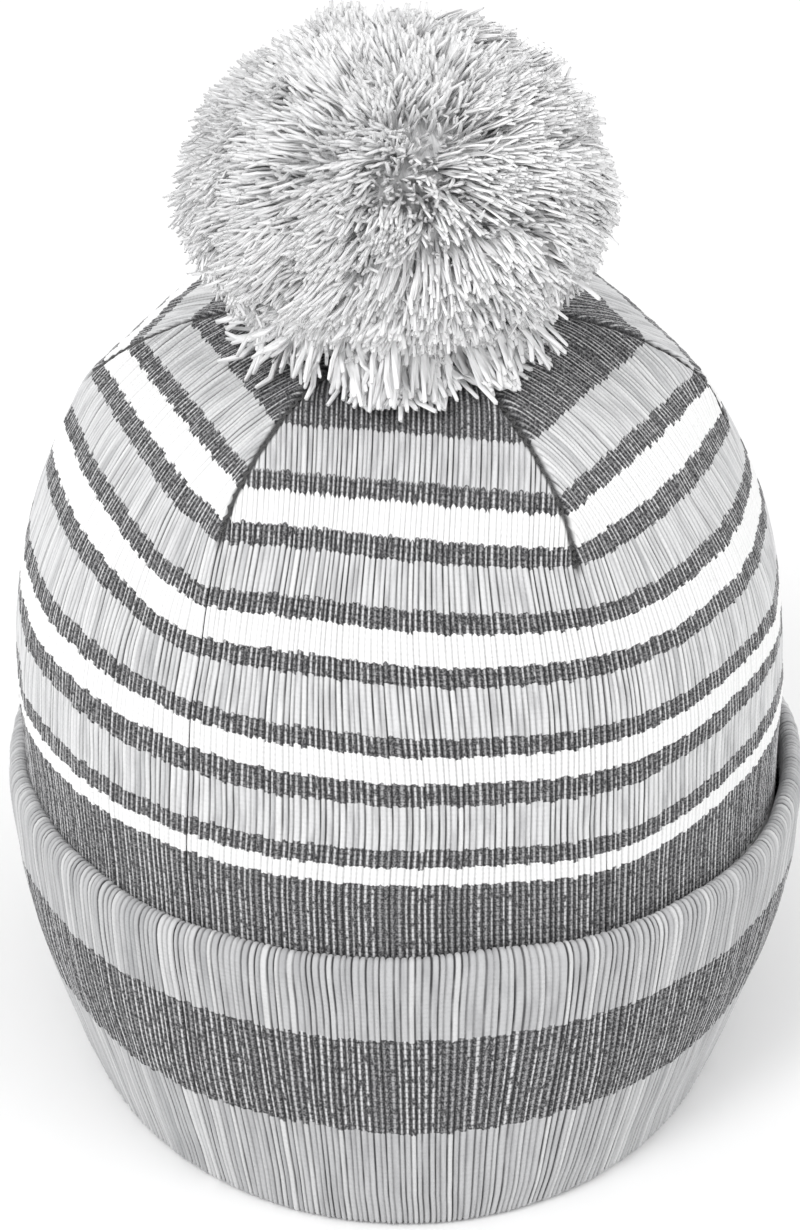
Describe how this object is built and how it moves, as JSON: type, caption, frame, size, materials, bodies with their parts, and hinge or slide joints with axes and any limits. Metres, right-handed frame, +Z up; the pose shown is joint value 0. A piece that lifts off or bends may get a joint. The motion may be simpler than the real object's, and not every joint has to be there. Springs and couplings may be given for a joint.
{
  "type": "pom pom beanie",
  "caption": "Striped ribbed knit winter hat with a double turned-up cuff, a six-dart crown and a yarn pom that tips on its tie.",
  "frame": {"origin": "centre of the bounding box in plan, on the plane the rim rests on", "axes": "+Z up through the crown, -Y towards the wearer's face, +X towards the wearer's left ear"},
  "size_m": [0.2212, 0.2213, 0.294],
  "materials": {
    "striped_rib_knit": "ribbed knit in dark, light and white stripes",
    "cuff_rib_knit": "ribbed knit, light with one dark band",
    "pom_yarn": "cut soft yarn",
    "yarn_tail": "twisted yarn",
    "sewing_thread": "matt thread",
    "label_tape": "smooth woven tape"
  },
  "bodies": {
    "hat": {"knit_body": "striped_rib_knit", "cuff_outer": "cuff_rib_knit", "cuff_hem": "cuff_rib_knit", "hem_stitch": "sewing_thread", "crown_seam_back_left": "sewing_thread", "crown_seam_left": "sewing_thread", "crown_seam_front_left": "sewing_thread", "crown_seam_front_right": "sewing_thread", "crown_seam_right": "sewing_thread", "crown_seam_back_right": "sewing_thread", "crown_gather_thread": "sewing_thread", "cuff_tack_left": "sewing_thread", "cuff_tack_right": "sewing_thread", "label_stitch": "sewing_thread"},
    "tie": {"pom_tie": "yarn_tail", "pom_knot": "yarn_tail"},
    "pom": {"pom_yarn": "pom_yarn", "pom_binding": "yarn_tail"},
    "label": {"care_label": "label_tape"}
  },
  "joints": [
    {"name": "pom_lean", "type": "hinge", "parent": "hat", "child": "tie", "pos_m": [0, 0.00825, 0.218], "axis": [0, 1, 0], "range_deg": [-12, 12], "stiffness_Nm_per_rad": 0.12},
    {"name": "pom_nod", "type": "hinge", "parent": "tie", "child": "pom", "pos_m": [0, 0.00825, 0.2236], "axis": [1, 0, 0], "range_deg": [-12, 12], "stiffness_Nm_per_rad": 0.12},
    {"name": "label_flap", "type": "hinge", "parent": "hat", "child": "label", "pos_m": [0, 0.1022, 0.104], "axis": [-1, 0, 0], "range_deg": [0, 70]}
  ]
}
